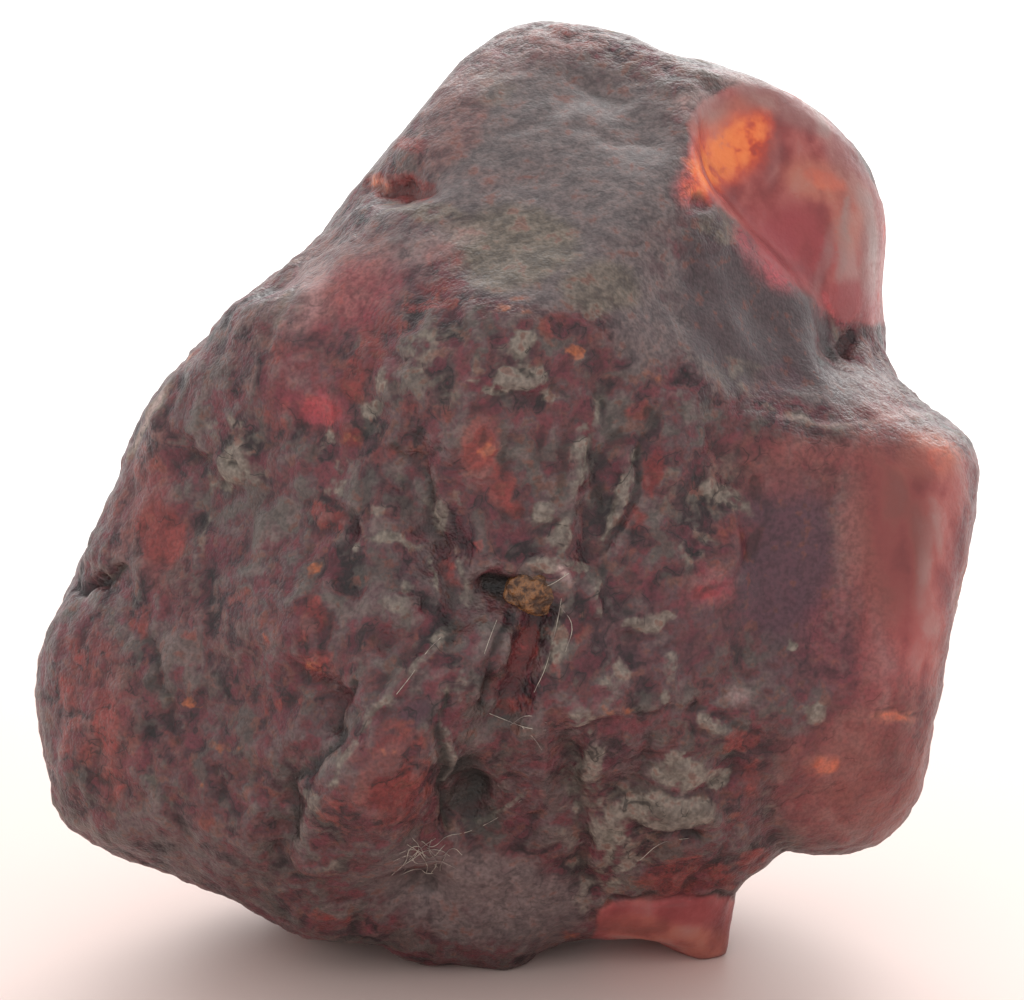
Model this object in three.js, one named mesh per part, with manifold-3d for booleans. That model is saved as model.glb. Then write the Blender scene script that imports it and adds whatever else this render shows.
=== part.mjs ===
// A raw lump of amber: one natural piece, broad and blunt, standing on a small broken flat.
//
// Lengths are millimetres. The lump is shaped in its face frame, in which x runs across the
// broad show face, y runs up that face and z points straight out of it. The face leans back,
// so at the end the lump is tilted to stand, with +Z up and the show face towards -Y.

import * as THREE from "three";
import { mergeVertices } from "three/addons/utils/BufferGeometryUtils.js";
import { ImprovedNoise } from "three/addons/math/ImprovedNoise.js";
import Module from "manifold-3d";

const wasm = await Module();
wasm.setup();

// Main sizes
const FACE_LEAN_DEG = 15; // the show face looks this far above the horizon
const FRONT_BULGE = 29; // from the seam line forwards, before the show face is worn flat
const BACK_BULGE = 33; // from the seam line to the back, before the back is worn flat
const FRONT_EDGE_ROUND = 19; // how far in from the outline the front starts to round over
const BACK_EDGE_ROUND = 17;
const FOOT_BELOW_MIDDLE = 44.4; // the broken flat it rests on lies this far under the middle
const BACK_FLARE = 1 / 300; // the outline widens by this share for each millimetre further back

// Outline of the lump seen square to the show face, clockwise from the top, as [across, up]
const OUTLINE = [
  [4, 50.2],
  [9.5, 49.2],
  [13.5, 48],
  [16.5, 46.2],
  [19.5, 45.8],
  [23.5, 44.5],
  [27.5, 43],
  [31.5, 40.5],
  [34.5, 37.5],
  [36.5, 34.5],
  [37.7, 31],
  [37.7, 27],
  [37.2, 23],
  [37.3, 19],
  [38, 15.5],
  [39.5, 13],
  [43, 10.5],
  [46.3, 8.8],
  [47, 5],
  [46.5, 0],
  [45.5, -6],
  [44, -12],
  [42.7, -20],
  [41.5, -26.5],
  [40, -29.5],
  [37.5, -32],
  [32.5, -34],
  [27.3, -32.8],
  [26.6, -34.8],
  [24, -36.2],
  [23.3, -39],
  [23.4, -46],
  [21, -46.2],
  [18.5, -45],
  [13.5, -42],
  [9.5, -41.2],
  [6, -41.5],
  [4, -42.5],
  [1.5, -45.5],
  [-0.5, -46.6],
  [-3.5, -44.8],
  [-7.5, -44.8],
  [-10.5, -43.5],
  [-13, -42.2],
  [-20.5, -41.5],
  [-25.5, -38.5],
  [-30.5, -36.5],
  [-34.5, -34.5],
  [-39.5, -33],
  [-43, -30.5],
  [-44.5, -27],
  [-46, -22],
  [-46.7, -18],
  [-46.3, -13.5],
  [-45, -10],
  [-43, -6],
  [-41.5, -2],
  [-39, 4],
  [-36.5, 11],
  [-34, 14],
  [-30, 17.5],
  [-23, 24.5],
  [-19.5, 27.5],
  [-13.5, 34.5],
  [-7.5, 42],
  [-3.5, 46.5],
  [-0.5, 48.7],
];

// Broad faces that the lump is worn to. Each has the direction it looks in and its distance
// from the middle.
const FACES = [
  { name: "show face", looks: [0.06, -0.08, 1], distance: 26.5 },
  { name: "crown face", looks: [-0.06, 0.653, 0.757], distance: 31.6 },
  { name: "left flank", looks: [-0.54, 0.02, 0.84], distance: 25.6 },
  { name: "upper left flank", looks: [-0.52, 0.5, 0.69], distance: 30.5 },
  { name: "lower front", looks: [0, -0.76, 0.65], distance: 37 },
  { name: "lower left", looks: [-0.4, -0.6, 0.69], distance: 38 },
  { name: "right front", looks: [0.36, 0, 0.93], distance: 26.3 },
  { name: "lower right", looks: [0.15, -0.65, 0.74], distance: 29 },
  { name: "back", looks: [0.12, 0.1, -1], distance: 30 },
  { name: "upper back", looks: [0.05, 0.72, -0.7], distance: 43 },
  { name: "left back", looks: [-0.66, -0.1, -0.74], distance: 40 },
  { name: "right back", looks: [0.66, -0.15, -0.74], distance: 40 },
  { name: "lower back", looks: [-0.1, -0.5, -0.86], distance: 41 },
];
const FACE_BLEND = 4; // width of the worn rounding where two faces meet

// The seam line round the lump runs further back behind the red lobe and lies deeper at the
// crown, so the lump isn't a flat cushion. Each entry is a soft dip of the seam.
const SEAM_DIPS = [
  { at: [36, 24], radius: 12, depth: 11 },
  { at: [4, 50], radius: 16, depth: 4 },
  { at: [-44, -8], radius: 16, depth: 4 },
  { at: [18, -44], radius: 9, depth: -4 },
  { at: [46, -5], radius: 12, depth: -3 },
];

// Cuts to the right of the crown. Each takes away what lies outside all of its planes: behind
// the crown's right wall the red lobe stands back, and a smooth dish runs from the crown's side
// down to the shelf, with its upper edge in front of the lobe.
const CUTS = [
  {
    name: "lobe standing back",
    planes: [
      { name: "crown wall", looks: [1, -0.08, 0.12], distance: 16.6 },
      { name: "lobe front", looks: [0.27, 0.1, 0.96], distance: 13.4 },
      { name: "upper edge of the dish", looks: [0.686, 0.727, 0], distance: 36.8 },
    ],
    edgeBlend: 1.5, // rounding of the cut's outer edges
    hollowBlend: 3, // and of the hollows where its planes meet
  },
  {
    name: "dish under the lobe",
    planes: [
      { name: "dish face", looks: [0.627, 0.152, 0.764], distance: 27.2 },
      { name: "shelf", looks: [0.088, 0.95, 0.298], distance: 16.2 },
    ],
    edgeBlend: 3,
    hollowBlend: 9,
  },
];

// Broad swells and hollows of the show face: [across, up], radii and height in millimetres
const SWELLS = [
  { name: "heart boss", at: [-13, -24], across: 6.5, up: 8, height: 3.8 },
  { name: "left bulge", at: [-37, -19], across: 6, up: 9, height: 1.2 },
  { name: "mid left boss", at: [-20, -10], across: 8, up: 7, height: 1.8 },
  { name: "brow under the crown", at: [0, 16], across: 14, up: 5, height: 1.6 },
  { name: "upper left shoulder", at: [-22, 17], across: 6, up: 9, height: 1.5 },
  { name: "pale lump low right", at: [18, -28], across: 6, up: 5, height: 1.8 },
  { name: "right column", at: [38, -4], across: 5, up: 11, height: 1.2 },
  { name: "crown dent", at: [9.5, 43], across: 5, up: 3, height: -1.6 },
  { name: "second crown dent", at: [14, 38], across: 3, up: 4, height: -1 },
  { name: "left hollow", at: [-30, 2], across: 7, up: 6, height: -1.4 },
  { name: "hollow beside the hole", at: [-3, 0], across: 5, up: 5, height: -1.8 },
  { name: "violet hollow", at: [27, -8], across: 7, up: 10, height: -1.6 },
  { name: "hollow under the shelf lip", at: [20, 3], across: 5, up: 5, height: -1.2 },
  { name: "dark pocket", at: [-3.4, -27], across: 2.8, up: 4.8, height: -3.2 },
  { name: "slot under the crown", at: [-10.3, 32.8], across: 3.6, up: 1.7, height: -2.4 },
  { name: "hollow under the crumb", at: [-8, -36.5], across: 3, up: 2.4, height: -2.6 },
  { name: "open hole", at: [-0.6, -7], across: 3.6, up: 1.8, height: -3.6 },
  { name: "pit under the lobe's tip", at: [34, 18.5], across: 2.6, up: 3, height: -3.6 },
];

// Cracks and creases of the show face, each a line of [across, up] points
const CRACKS = [
  {
    name: "crack beside the heart",
    line: [[-15.5, -16], [-17.2, -21], [-20.6, -25.5], [-21.5, -32]],
    width: 1.1,
    depth: 2.4,
  },
  {
    name: "upright crevice",
    line: [[8.2, 13.5], [9.6, 9], [9.4, 4], [8, -4]],
    width: 1.2,
    depth: 1.2,
  },
  {
    name: "groove below the hole",
    line: [[3, -9.5], [1.5, -14], [-1, -18.5]],
    width: 1.8,
    depth: 2.6,
  },
  {
    name: "foot crease",
    line: [[5.8, -20], [6.4, -27], [8, -32], [8.4, -38]],
    width: 1.4,
    depth: 1.3,
  },
  {
    name: "left notch",
    line: [[-46, -6.5], [-39, -6.2]],
    width: 1.8,
    depth: 1.8,
  },
  {
    name: "groove under the brow",
    line: [[-9, 4], [-6, -3], [-5, -9]],
    width: 1.8,
    depth: 1.8,
  },
  {
    name: "ledge over the chip",
    line: [[11, -38.3], [20, -38.2]],
    width: 1.3,
    depth: 1.6,
  },
  {
    name: "seam of the right block",
    line: [[20, 9], [24, 2], [25, -8], [22, -18]],
    width: 1.8,
    depth: 1.2,
  },
];

// Roughness of the crust, in octaves, and the smooth areas where it fades out
const ROUGHNESS = [
  { wavelength: 17, height: 1.3 },
  { wavelength: 8, height: 1.1 },
  { wavelength: 4.2, height: 0.7 },
];
const SMOOTH_AREAS = [
  { name: "crown face", at: [3, 32], across: 14, up: 16 },
  { name: "lobe", at: [29, 33], across: 10, up: 12 },
  { name: "right block", at: [38, -8], across: 9, up: 20 },
];
const SMOOTH_AREA_ROUGHNESS = 0.3;
const SMOOTH_AREA_FADE = 0.5; // share of an area's radius over which it fades at its edge
const SMOOTH_AREA_DEPTH = 12; // they end this far behind the middle
const OUTLINE_ROUGHNESS = 0.4; // the outline above already holds its own roughness
const OUTLINE_BAND = 6;
const SMALL_FORMS_START = 6; // swells and cracks fade in over this distance from the seam

// The mesh is cast from a point behind the middle, with its rays crowded towards the show face
const CAST_FROM = new THREE.Vector3(-1, -2, -14);
const CAST_DETAIL = 20;
const CAST_CROWDING = 0.45;
const CAST_REACH = 90;
const CAST_STEP = 1.5;
const CAST_HALVINGS = 12;
const GROUND_SIZE = 200; // wider than the lump
const MERGE_WITHIN = 1e-5;

const noise = new ImprovedNoise();

// Largest of two lengths, with the corner between them rounded over the given width
function roundedMax(a, b, width) {
  const overlap = Math.max(width - Math.abs(a - b), 0) / width;
  return Math.max(a, b) + (overlap * overlap * width) / 4;
}

// How far a point stands out of a plane of the lists above
function outOfPlane(point, plane) {
  const [x, y, z] = plane.looks;
  const length = Math.hypot(x, y, z);
  return (point.x * x + point.y * y + point.z * z) / length - plane.distance;
}

// Distance across the face to a line of points
function distanceToLine(x, y, line) {
  let nearest = Infinity;
  for (let i = 1; i < line.length; i += 1) {
    const [ax, ay] = line[i - 1];
    const [bx, by] = line[i];
    const along = ((x - ax) * (bx - ax) + (y - ay) * (by - ay)) / ((bx - ax) ** 2 + (by - ay) ** 2);
    const t = THREE.MathUtils.clamp(along, 0, 1);
    nearest = Math.min(nearest, Math.hypot(x - ax - t * (bx - ax), y - ay - t * (by - ay)));
  }
  return nearest;
}

// How far inside the outline a place is, negative outside it
const closedOutline = [...OUTLINE, OUTLINE[0]];
function insideOutline(x, y) {
  let inside = false;
  for (let i = 1; i < closedOutline.length; i += 1) {
    const [ax, ay] = closedOutline[i - 1];
    const [bx, by] = closedOutline[i];
    if (ay > y !== by > y && x < ax + ((bx - ax) * (y - ay)) / (by - ay)) inside = !inside;
  }
  const distance = distanceToLine(x, y, closedOutline);
  return inside ? distance : -distance;
}

function seamDepth(x, y) {
  let depth = 0;
  for (const { at, radius, depth: dip } of SEAM_DIPS) {
    depth -= dip * Math.exp(-((x - at[0]) ** 2 + (y - at[1]) ** 2) / (2 * radius ** 2));
  }
  return depth;
}

// The lump before its small forms: negative inside, positive outside
function outOfLump(point) {
  const flare = 1 - point.z * BACK_FLARE;
  const x = point.x / flare;
  const y = point.y / flare;
  const fromSeam = point.z - seamDepth(x, y);
  const round = fromSeam > 0 ? FRONT_EDGE_ROUND : BACK_EDGE_ROUND;
  const bulge = fromSeam > 0 ? FRONT_BULGE : BACK_BULGE;
  const edge = Math.max(1 - insideOutline(x, y) / round, 0);
  let out = (Math.hypot(edge, fromSeam / bulge) - 1) * round;
  for (const face of FACES) out = roundedMax(out, outOfPlane(point, face), FACE_BLEND);
  for (const { planes, edgeBlend, hollowBlend } of CUTS) {
    let intoCut = Infinity;
    for (const plane of planes) {
      intoCut = -roundedMax(-intoCut, -outOfPlane(point, plane), hollowBlend);
    }
    out = roundedMax(out, intoCut, edgeBlend);
  }
  return out;
}

// Distance from the cast point out to the surface along one ray
function castTo(direction) {
  const point = new THREE.Vector3();
  const outAt = (reach) => outOfLump(point.copy(CAST_FROM).addScaledVector(direction, reach));
  let outer = CAST_STEP;
  while (outer < CAST_REACH && outAt(outer) < 0) outer += CAST_STEP;
  let inner = outer - CAST_STEP;
  for (let i = 0; i < CAST_HALVINGS; i += 1) {
    const middle = (inner + outer) / 2;
    if (outAt(middle) < 0) inner = middle;
    else outer = middle;
  }
  return inner;
}

// Smooth random height at a point in space
function waves(point, { wavelength, height }) {
  return height * noise.noise(point.x / wavelength, point.y / wavelength, point.z / wavelength);
}

// Swells, hollows and cracks at a place on the show face
function smallForms(x, y) {
  let height = 0;
  for (const swell of SWELLS) {
    const reach = Math.hypot((x - swell.at[0]) / swell.across, (y - swell.at[1]) / swell.up);
    height += swell.height * Math.exp(-(reach ** 2));
  }
  for (const crack of CRACKS) {
    height -= crack.depth * Math.exp(-((distanceToLine(x, y, crack.line) / crack.width) ** 2));
  }
  return height;
}

function roughness(point) {
  let height = 0;
  for (const octave of ROUGHNESS) height += waves(point, octave);
  const fromSeam = point.z - seamDepth(point.x, point.y);
  const calm = (1 - OUTLINE_ROUGHNESS) * Math.exp(-((fromSeam / OUTLINE_BAND) ** 2));
  height *= 1 - calm;
  let smooth = 0;
  if (point.z > -SMOOTH_AREA_DEPTH) {
    for (const { at, across, up } of SMOOTH_AREAS) {
      const reach = Math.hypot((point.x - at[0]) / across, (point.y - at[1]) / up);
      const into = THREE.MathUtils.smoothstep(1 - reach, -SMOOTH_AREA_FADE, 0);
      smooth = Math.max(smooth, into);
    }
  }
  return height * (1 - smooth * (1 - SMOOTH_AREA_ROUGHNESS));
}

function toSolid(geometry) {
  const positions = geometry.getAttribute("position").array;
  return new wasm.Manifold(
    new wasm.Mesh({
      numProp: 3,
      vertProperties: new Float32Array(positions),
      triVerts: new Uint32Array(geometry.getIndex().array),
    }),
  );
}

// A sphere's mesh with each point moved out to the surface
function lumpGeometry() {
  const sphere = new THREE.IcosahedronGeometry(1, CAST_DETAIL);
  sphere.deleteAttribute("normal");
  sphere.deleteAttribute("uv");
  const geometry = mergeVertices(sphere, MERGE_WITHIN);
  const position = geometry.getAttribute("position");
  const towardsFace = new THREE.Vector3(0, 0, CAST_CROWDING);
  const direction = new THREE.Vector3();
  for (let i = 0; i < position.count; i += 1) {
    direction.fromBufferAttribute(position, i).normalize().add(towardsFace).normalize();
    const point = CAST_FROM.clone().addScaledVector(direction, castTo(direction));
    const fromSeam = point.z - seamDepth(point.x, point.y);
    const onFront = THREE.MathUtils.smoothstep(fromSeam, 0, SMALL_FORMS_START);
    const change = roughness(point) + onFront * smallForms(point.x, point.y);
    point.addScaledVector(direction, change);
    position.setXYZ(i, point.x, point.y, point.z);
  }
  return geometry;
}

// Tilts a body from the face frame to the way the lump stands, with its foot at z = 0
function stand(geometry) {
  geometry.rotateX(THREE.MathUtils.degToRad(90 - FACE_LEAN_DEG));
  geometry.translate(0, 0, FOOT_BELOW_MIDDLE);
  return geometry;
}

// Everything below the foot, which the broken flat cuts away
function groundGeometry() {
  const box = new THREE.BoxGeometry(GROUND_SIZE, GROUND_SIZE, GROUND_SIZE);
  box.deleteAttribute("normal");
  box.deleteAttribute("uv");
  box.translate(0, 0, -GROUND_SIZE / 2);
  return mergeVertices(box, MERGE_WITHIN);
}

function amberGeometry() {
  const lump = toSolid(stand(lumpGeometry()));
  const ground = toSolid(groundGeometry());
  const solid = lump.subtract(ground);
  const mesh = solid.getMesh();
  const geometry = new THREE.BufferGeometry();
  geometry.setAttribute("position", new THREE.BufferAttribute(mesh.vertProperties, mesh.numProp));
  geometry.setIndex(new THREE.BufferAttribute(mesh.triVerts, 1));
  geometry.computeBoundingBox();
  const { min, max } = geometry.boundingBox;
  geometry.translate(-(min.x + max.x) / 2, -(min.y + max.y) / 2, -min.z);
  geometry.computeVertexNormals();
  return geometry;
}

const amberMaterial = new THREE.MeshStandardMaterial({
  color: 0x6b4a4a,
  roughness: 0.45,
  metalness: 0,
});

const amber = new THREE.Mesh(amberGeometry(), amberMaterial);
amber.name = "amber";

const piece = new THREE.Group();
piece.add(amber);

export default piece;
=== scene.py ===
# The looks of the raw amber lump: its worn crust, its see-through red windows, the crumb in its
# open hole and the lint that it has caught.
#
# Lengths are metres, and millimetres where a name ends in _MM. Places named in pixels are read
# from the photograph, 1024 wide and 1000 high, and are carried onto the lump's surface by the
# same view that the camera has.

import math

import bmesh
import bpy
import numpy as np
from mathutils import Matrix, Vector, noise


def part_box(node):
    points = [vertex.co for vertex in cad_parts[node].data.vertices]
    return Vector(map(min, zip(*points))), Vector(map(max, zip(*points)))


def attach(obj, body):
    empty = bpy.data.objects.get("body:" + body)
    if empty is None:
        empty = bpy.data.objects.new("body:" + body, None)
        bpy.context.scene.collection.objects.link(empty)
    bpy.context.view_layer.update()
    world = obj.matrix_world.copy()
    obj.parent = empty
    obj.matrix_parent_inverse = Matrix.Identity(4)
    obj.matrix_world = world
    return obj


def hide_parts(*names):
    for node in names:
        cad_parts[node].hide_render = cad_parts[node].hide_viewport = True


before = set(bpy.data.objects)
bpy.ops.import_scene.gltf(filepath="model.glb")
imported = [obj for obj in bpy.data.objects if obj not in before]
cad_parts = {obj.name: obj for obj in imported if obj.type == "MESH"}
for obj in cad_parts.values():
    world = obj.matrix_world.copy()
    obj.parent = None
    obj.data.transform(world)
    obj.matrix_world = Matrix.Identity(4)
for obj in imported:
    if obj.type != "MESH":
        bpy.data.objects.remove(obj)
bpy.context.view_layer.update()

MM = 0.001
NODE = "amber"
PATTERN_SEED = 7
noise.seed_set(PATTERN_SEED)

# The view of the photograph
IMAGE_WIDTH, IMAGE_HEIGHT = 1024, 1000
VIEW_ELEVATION_DEG = 15
VIEW_DISTANCE = 0.300
VIEW_TARGET = Vector((0.00057, 0, 0.0461))
PIXELS_PER_RADIAN = 3000
SENSOR_WIDTH_MM = 36
NEAREST_SEEN = 0.01
LEAST_FACING = 0.1

# The visual mesh
VOXEL_MM = 0.57
SMOOTHING = 0.5
SMOOTHING_ROUNDS = 8

# Fades: (where each starts, where it is complete)
FRONT_FADE = (0.02, 0.25)
WINDOW_FADE = (-0.5, 0)
TOP_FADE = (0.064, 0.084)
POOL_FADE = (0.2, 0.6)
PATCH_RIM = (0.6, 1.3)
FORM_RIM = (0.45, 1.3)
# The relief fades in over this height, so that the foot stays as it is
FOOT_KEEP_MM = 2

# Noises: (wavelength in mm, seed), and a stretch along each axis where it isn't even
WANDER_X = (2.6, 1)
WANDER_Y = (2.6, 2)
CLOUD = (11, 3)
MOTTLE = (4.5, 4)
SPOTS = (2.6, 5)
STREAKS = (1.5, 9, (1, 1, 4.5))
TURNING = (6, 14)
POOLS = (13, 15)
POOL_RIMS = (4, 16)
ROUGHNESS = (1.5, 17)
# Patterns: (wavelength in mm, seed, octaves, warp), and a stretch
SWIRL = (4.2, 10, 5, 0.9)
FOLD = (2.6, 11, 3, 1.1)
VEIL = (3.6, 13, 4, 0.5, (1, 1, 3))
PATTERN_MIDDLE = 0.5
PATTERN_SPREAD = 0.1
# Creases: (wavelength in mm, seed, sharpness, share)
CREASES = [(7, 7, 6, 1), (3.4, 8, 5, 0.6)]
OCTAVE_FALLOFF, OCTAVE_STEP = 1, 2
SEED_SHIFT = (7.3, 3.1, 5.7)
SHADER_SEED_SHIFT = (0.137, 0.071, 0.193)
WANDER_PIXELS = 9
SOFT_WANDER = 0.35
TURNING_SHARE = 0.35
POOL_RIM_SHARE = 0.35
POOL_STRENGTH = 0.5

# Heights of the relief, and how far calm places are spared from it
MOTTLE_MM = 0.25
SPOTS_MM = 0.08
ROUGHNESS_MM = 0.11
SWIRL_MM = 0.8
FOLD_MM = 0.5
CREASE_MM = 0.27
STREAK_MM = 0.38
CRACK_MM = 0.6
CALM_IN_AREAS = 0.9
CALM_ON_TOP = 0.8
CALM_RELIEF_CUT = 0.85
CALM_PATTERN_CUT = 0.5
# The streaked area around the open hole: its middle and half sizes in pixels
STREAKED = (530, 640, 150, 240)
# How far out of its neighbours a point stands when it counts as fully raised
RAISED_FULL = 0.00006
RAISED_ROUNDS = 2
# How dark the cracks are painted, as their shade
CRACK_DARKNESS = 0.8

# Behind, each kind of surface lies where its noises add up high: (shares of spots, mottle, cloud
# and top, none from, full from, how much the top fades it, strength)
SCATTERED = {
    "red": (0, 1, 0.5, 0, 0, 0.6, 0.6, 0.7),
    "orange": (1, 0.6, 0, 0, 0.6, 1, 0, 1),
    "pale": (1, -0.5, 0.4, 0, 0.35, 0.7, 0, 1),
    "pink": (0, 0, -1, 0, 0.05, 0.4, 0, 1),
    "grey": (0, 0, 1, 1, 0, 0.5, 0, 1),
}

# Surface colours: the bands run from the hollows of a pattern to its tops, and each pair is a
# dark and a light one
# The crust's bands darken into the swirl's hollows: its own colours, with painted shade in the hollows
CRUST_AND_HOLLOW_SHADE = [
    (0.28, (0.026, 0.013, 0.016)),
    (0.42, (0.074, 0.030, 0.036)),
    (0.50, (0.125, 0.043, 0.044)),
    (0.57, (0.104, 0.055, 0.060)),
    (0.70, (0.155, 0.108, 0.100)),
]
PANE = [
    (0.30, (0.33, 0.060, 0.064)),
    (0.45, (0.52, 0.108, 0.104)),
    (0.55, (0.68, 0.185, 0.165)),
    (0.72, (0.72, 0.370, 0.340)),
]
GREEN_GREY = (0.085, 0.076, 0.066)
MAGENTA = (0.190, 0.034, 0.050)
VIOLET = (0.095, 0.042, 0.056)
GREYS = ((0.104, 0.080, 0.081), (0.168, 0.125, 0.121))
# Slate-grey crust of the recess, darkened as painted shade
SLATE_AND_SHADE = (0.066, 0.041, 0.046)
PINKS = ((0.120, 0.054, 0.054), (0.215, 0.112, 0.103))
OLIVES = ((0.092, 0.070, 0.054), (0.190, 0.150, 0.118))
DEEP_RED = (0.150, 0.026, 0.026)
BRIGHT_RED = (0.23, 0.046, 0.042)
RUST = (0.170, 0.055, 0.040)
ORANGE = (0.50, 0.14, 0.05)
# Painted glow: the backlight shining through thin amber, painted into the colour
GLOW = (1.0, 0.28, 0.09)
GLOW_RED = (0.85, 0.10, 0.03)
CHALKY = ((0.140, 0.117, 0.096), (0.270, 0.230, 0.190))
# Dust, and painted highlight on the raised points; also the lint's darker shade
DUST_AND_HIGHLIGHT = (0.24, 0.19, 0.175)
# Black, for the painted shade of pits, cracks and hollows and for the fold seams
BLACK = (0.014, 0.012, 0.012)
WHITE = (1, 1, 1)
CRIMSON = (0.54, 0.075, 0.095)
BRICK = (0.30, 0.078, 0.066)
# Painted glow, where the backlight shines through thin amber
PEACH_GLOW = (0.85, 0.30, 0.19)
# A grey veil on the crust, and painted sheen on the lobe's right rim
MIST_AND_SHEEN = (0.52, 0.36, 0.34)
RIM_LIGHT = (0.58, 0.42, 0.39)
# Painted shade in the dark pocket and the open hole, tinted green
POCKET_SHADE_GREEN = (0.030, 0.036, 0.033)
DEEP_COLOUR = (0.87, 0.38, 0.04)
DEEP_DENSITY = 80
CRUMB_GOLD = (0.26, 0.115, 0.045)
CRUMB_BROWN = (0.045, 0.018, 0.008)
LINT = (0.50, 0.45, 0.38)

# The amber's shader: sizes of its two noises, what it reflects, and how strong its colours are
GRAIN_MM = 0.45
SPECK_MM = 1.5
BUMP_MM = 0.25
AMBER_IOR = 1.54
AMBER_SPECULAR = 0.34
RAGGED_SHARE = 0.5
VEIL_RAGGED_SHARE = 0.4
SLATE_AND_SHADE_STRENGTH = 0.85
PALE_STRENGTH = 0.88
DARK_STRENGTH = 0.8
# How far the painted glow covers the see-through amber
GLOW_COVER = 0.7
PALE_MATT = 0.4
KIND_REACH = 0.3
# How noise wears each kind's rim: (wear, none from, full from, share that strays outside)
WEAR = {
    "grey": (0.8, 0.2, 0.95, 0),
    "olive": (0.8, 0.25, 1.05, 0),
    "pink": (0.9, 0.25, 1.1, 0),
    "violet": (0.5, 0.2, 1.1, 0),
    "red": (1.0, 0.25, 0.9, 0.6),
    "orange": (1.2, 0.35, 0.95, 0),
    "pale": (0.8, 0.3, 0.75, 0.8),
    "glow": (0.9, 0.05, 1.05, 0),
    "dark": (0.6, 0.25, 0.8, 0),
}
# Ramps, by what they give: (from, to), and the results there where they aren't 0 and 1
RAMPS = {
    "steady": (0, 1, 1, 0.3),
    "shades": (0.35, 0.65),
    "crust": (0.5, 0.95, 1, 0),
    "green grey": (0.52, 0.63, 0, 0.6),
    "magenta": (0.44, 0.34, 0, 0.4),
    "bright red": (0.44, 0.68),
    "rust": (0.56, 0.7, 0, 0.6),
    "seam": (0.004, 0.022, 0.8, 0),
    "seamed": (0.52, 0.42),
    "pane": (0.35, 0.95),
    "painted_glow_breakup": (0.3, 0.5, 0.6, 1),
    "painted_glow_level": (1.2, 2.3),
    "overlaid": (0.36, 0.62, 0.45, 1),
    "dust_and_highlight": (0.575, 0.95, 0, 0.2),
    "hollow_shade": (0.44, 0.1, 0, 0.6),
    "tone": (0.26, 0.76, 0.7, 1.14),
    "clear": (0.1, 0.95, 0, 0.45),
    "bump": (0, 1, 0.8, 0.25),
    "roughness": (0.3, 1.0, 0.36, 0.74),
    "crumb gold": (0.36, 0.68),
    "crumb roughness": (0.4, 0.6, 0.5, 0.22),
    "lint": (0.4, 0.6),
    "table": (0.08, 0.21),
}

# The gold-brown crumb in the open hole, and the lint caught on the crust, in pixels
CRUMB_AT = (535, 592)
CRUMB_SIZE_MM = (3.1, 1.5, 2.3)
CRUMB_LIFT_MM = 0.1
CRUMB_ROUND_SHARE = 0.75
CRUMB_FACETS, CRUMB_FACET_SHARE = 1.3, 0.3
CRUMB_WAVES, CRUMB_WAVE_SHARE = 3, 0.1
CRUMB_FLAKE_MM = 0.8
CRUMB_BUMP_MM = 0.4
CRUMB_BUMP = 0.9
LINT_RADIUS_MM = 0.035
LINT_LIFT_MM = 0.06
LINT_SHADE_MM = 1.5
LINT_ROUGHNESS = 0.8
LINT_STRANDS = [
    [(566, 574), (562, 604), (552, 636), (544, 668), (536, 692)],
    [(562, 606), (570, 622), (568, 650)],
    [(498, 620), (490, 636), (483, 652)],
    [(490, 716), (508, 721), (526, 727), (544, 730)],
    [(512, 722), (530, 716), (548, 722)],
    [(524, 726), (534, 738), (540, 748)],
    [(402, 866), (412, 858), (424, 852), (440, 850), (452, 856)],
    [(398, 852), (412, 850), (426, 857), (438, 866)],
    [(406, 842), (416, 852), (424, 862), (428, 872)],
    [(420, 842), (434, 846), (448, 838), (462, 836)],
    [(410, 860), (424, 846), (436, 838)],
    [(446, 834), (468, 830), (492, 820), (520, 800)],
    [(395, 692), (412, 674), (430, 652), (442, 640)],
    [(392, 872), (404, 862), (414, 848), (430, 856), (446, 846)],
    [(400, 874), (416, 868), (430, 872), (442, 862), (448, 850)],
    [(394, 860), (408, 856), (418, 864), (436, 862), (454, 868)],
    [(412, 836), (418, 848), (414, 860), (404, 870)],
    [(430, 838), (428, 850), (436, 862), (430, 874)],
    [(424, 848), (440, 856), (452, 848), (462, 852)],
    [(540, 590), (556, 582), (568, 572)],
    [(640, 860), (664, 842), (690, 836)],
]

# Table and light
# The table is painted pinker and darker near the lump, as painted shade, and near-white further off
FLOOR_NEAR = (0.83, 0.665, 0.615)
FLOOR_FAR = (0.93, 0.91, 0.90)
FLOOR_ROUGHNESS = 0.5
TABLE_REACH = 3
WORLD_FRONT = 0.8
WORLD_BACK = 1.6
WORLD_FADE = (-0.3, 0.7)
WORLD_TINT = (1, 0.985, 0.98)
# Soft lights: (name, place, side, brightness against a white of 1, colour)
LIGHTS = [
    ("window", (0.15, 0.75, 0.55), 0.8, 2.4, (1, 0.98, 0.96)),
    ("fill", (-0.35, -0.6, 0.55), 0.6, 0.6, (1, 0.97, 0.95)),
]

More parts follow.
